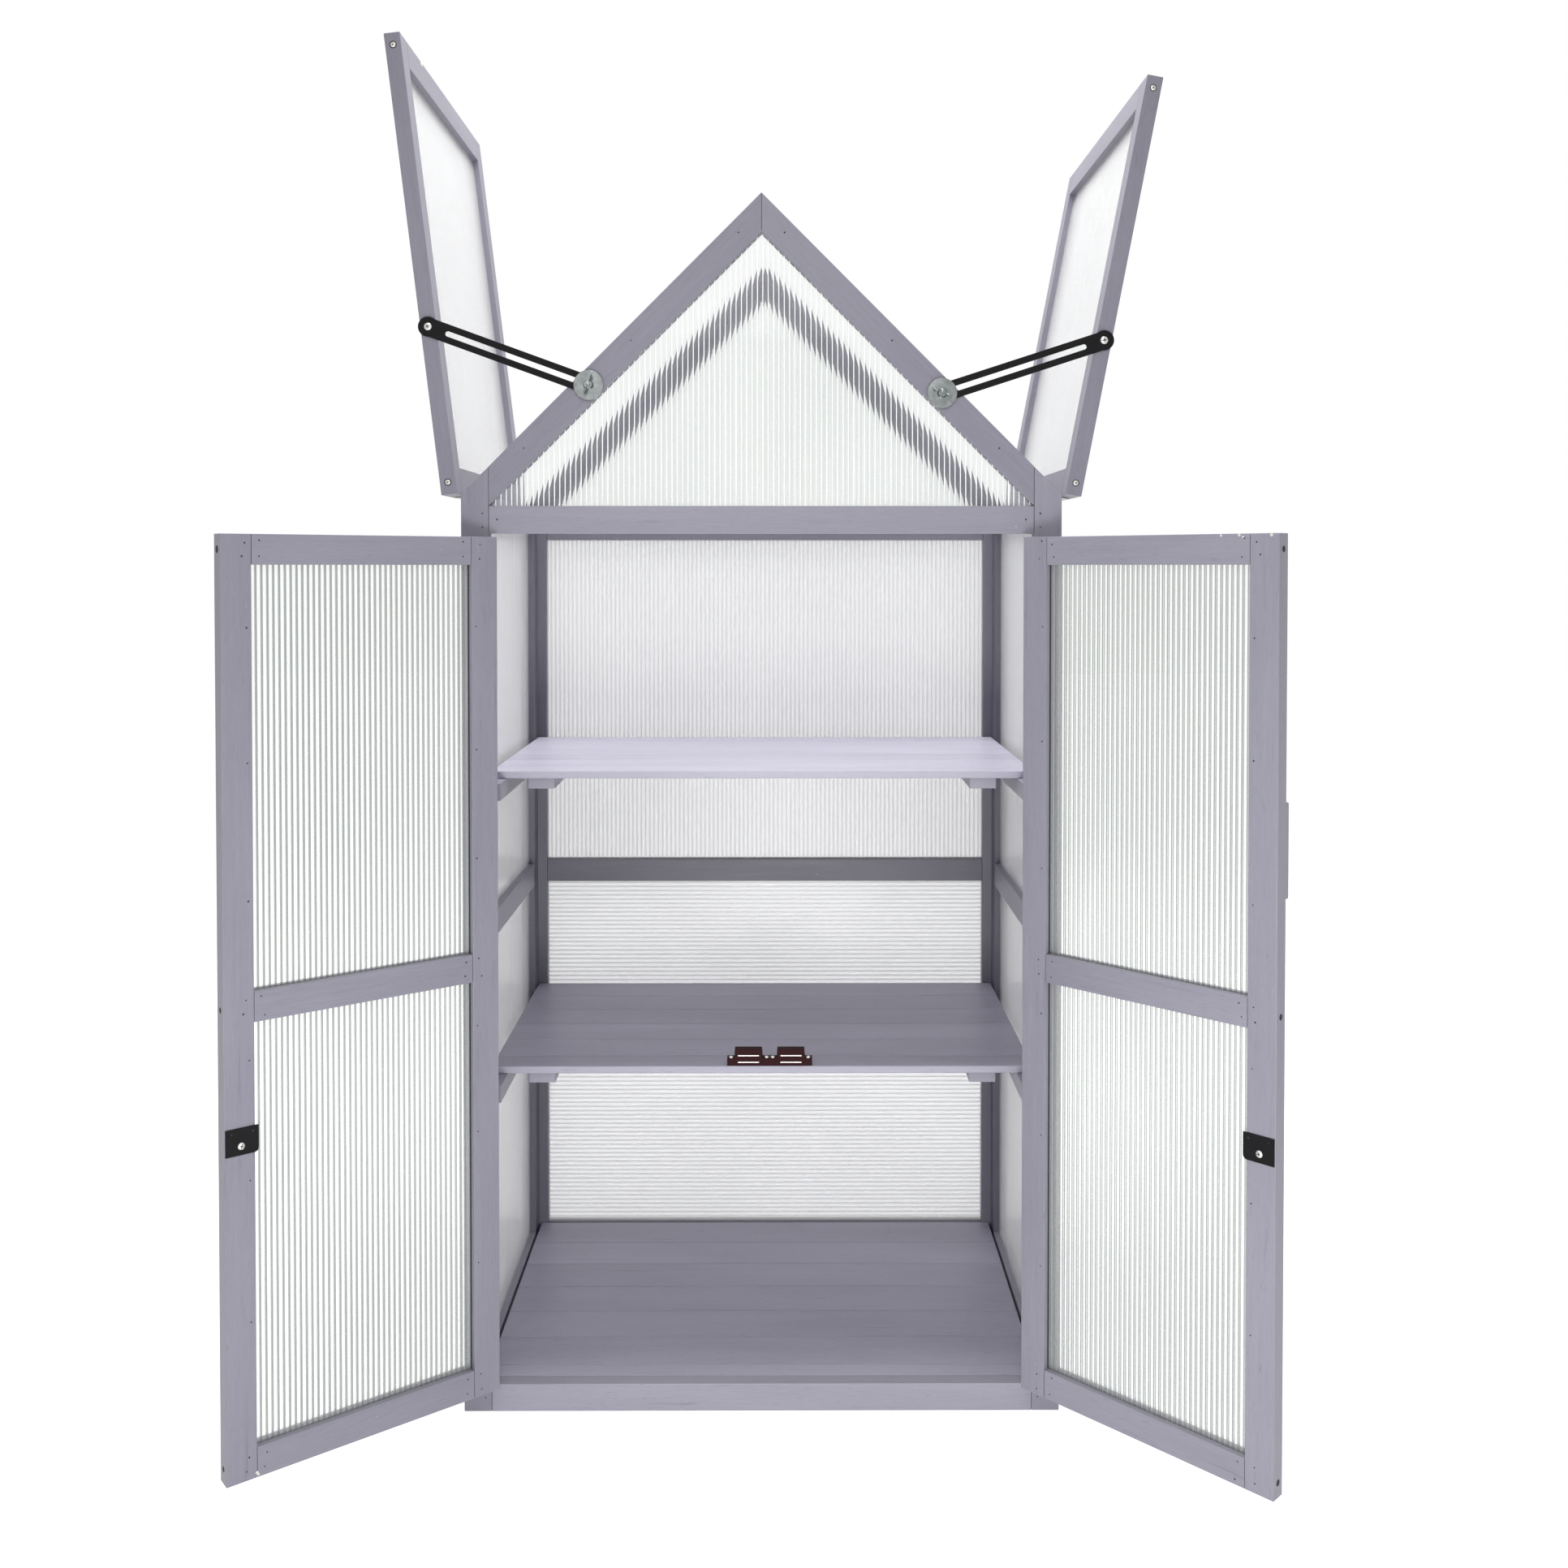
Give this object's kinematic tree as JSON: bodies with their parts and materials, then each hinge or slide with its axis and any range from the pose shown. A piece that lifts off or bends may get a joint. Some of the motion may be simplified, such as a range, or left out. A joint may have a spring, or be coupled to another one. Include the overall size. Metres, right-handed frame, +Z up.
{
  "type": "wooden mini greenhouse",
  "caption": "Tall gabled timber mini greenhouse with fluted clear panels, double front doors, lift-up roof lids on slotted stays, and loose shelves.",
  "frame": {"origin": "middle of the front sill's underside, on the ground", "axes": "+X to the right seen from the front, +Y to the back, +Z up"},
  "size_m": [1.2448, 0.8059, 1.807],
  "materials": {
    "timber": "satin purple-grey paint on timber",
    "panel": "clear fluted twin-wall plastic sheet",
    "black_steel": "black coated steel",
    "zinc": "bright zinc plate",
    "brown_plastic": "dark red-brown moulded plastic"
  },
  "bodies": {
    "frame": {"front_post_left": "timber", "front_post_right": "timber", "front_rafter_left": "timber", "front_rafter_right": "timber", "front_header": "timber", "front_sill": "timber", "front_gable_panel": "panel", "rear_post_left": "timber", "rear_post_right": "timber", "rear_rafter_left": "timber", "rear_rafter_right": "timber", "rear_header": "timber", "rear_sill": "timber", "rear_gable_panel": "panel", "rear_mid_rail": "timber", "rear_upper_panel": "panel", "rear_lower_panel": "panel", "left_side_frame": "timber", "left_side_upper_panel": "panel", "left_side_lower_panel": "panel", "right_side_frame": "timber", "right_side_upper_panel": "panel", "right_side_lower_panel": "panel", "floor_deck": "timber"},
    "upper_shelf": {"upper_shelf": "timber"},
    "lower_shelf": {"lower_shelf": "timber", "magnetic_catch": "brown_plastic"},
    "left_door": {"left_door_hinge_stile": "timber", "left_door_free_stile": "timber", "left_door_top_rail": "timber", "left_door_mid_rail": "timber", "left_door_bottom_rail": "timber", "left_door_upper_panel": "panel", "left_door_lower_panel": "panel", "left_door_strike_plate": "black_steel", "left_door_lower_hinge": "zinc", "left_door_upper_hinge": "zinc"},
    "left_lid": {"left_lid_frame": "timber", "left_lid_panel": "panel", "left_lid_front_hinge": "zinc", "left_lid_rear_hinge": "zinc"},
    "left_stay": {"left_lid_stay": "black_steel"},
    "left_bolt": {"left_stay_bolt": "zinc"},
    "right_door": {"right_door_hinge_stile": "timber", "right_door_free_stile": "timber", "right_door_top_rail": "timber", "right_door_mid_rail": "timber", "right_door_bottom_rail": "timber", "right_door_upper_panel": "panel", "right_door_lower_panel": "panel", "right_door_strike_plate": "black_steel", "right_door_lower_hinge": "zinc", "right_door_upper_hinge": "zinc", "right_door_handle": "timber"},
    "right_lid": {"right_lid_frame": "timber", "right_lid_panel": "panel", "right_lid_front_hinge": "zinc", "right_lid_rear_hinge": "zinc"},
    "right_stay": {"right_lid_stay": "black_steel"},
    "right_bolt": {"right_stay_bolt": "zinc"}
  },
  "joints": [
    {"name": "left_door_swing", "type": "hinge", "parent": "frame", "child": "left_door", "pos_m": [-0.3547, -0.0139, 0.597], "axis": [0, 0, -1], "range_deg": [-142.3, 31.7]},
    {"name": "right_door_swing", "type": "hinge", "parent": "frame", "child": "right_door", "pos_m": [0.3547, -0.0139, 0.597], "axis": [0, 0, 1], "range_deg": [-135.3, 38.7]},
    {"name": "left_lid_swing", "type": "hinge", "parent": "frame", "child": "left_lid", "pos_m": [-0.3955, 0.2505, 1.2045], "axis": [0, 1, 0], "range_deg": [0, 51.9]},
    {"name": "right_lid_swing", "type": "hinge", "parent": "frame", "child": "right_lid", "pos_m": [0.3955, 0.2505, 1.2045], "axis": [0, -1, 0], "range_deg": [0, 55.9]},
    {"name": "left_stay_turn", "type": "hinge", "parent": "left_lid", "child": "left_stay", "pos_m": [-0.4333, -0.01215, 1.42529], "axis": [0, 1, 0], "range_deg": [-25.96, 0]},
    {"name": "right_stay_turn", "type": "hinge", "parent": "right_lid", "child": "right_stay", "pos_m": [0.4459, -0.01215, 1.40804], "axis": [0, -1, 0], "range_deg": [-27.96, 0]},
    {"name": "upper_shelf_slide", "type": "slide", "parent": "frame", "child": "upper_shelf", "axis": [0, -1, 0], "range_m": [-0.005, 0.053]},
    {"name": "lower_shelf_slide", "type": "slide", "parent": "frame", "child": "lower_shelf", "axis": [0, -1, 0], "range_m": [-0.005, 0.053]},
    {"name": "left_bolt_turn", "type": "hinge", "parent": "frame", "child": "left_bolt", "pos_m": [-0.2249, -0.0145, 1.3497], "axis": [0, 1, 0], "continuous": true},
    {"name": "right_bolt_turn", "type": "hinge", "parent": "frame", "child": "right_bolt", "pos_m": [0.2351, -0.0145, 1.3395], "axis": [0, 1, 0], "continuous": true}
  ],
  "couplings": [
    {"joint": "left_stay_turn", "follows": "left_lid_swing", "ratio": -0.5},
    {"joint": "right_stay_turn", "follows": "right_lid_swing", "ratio": -0.5}
  ]
}
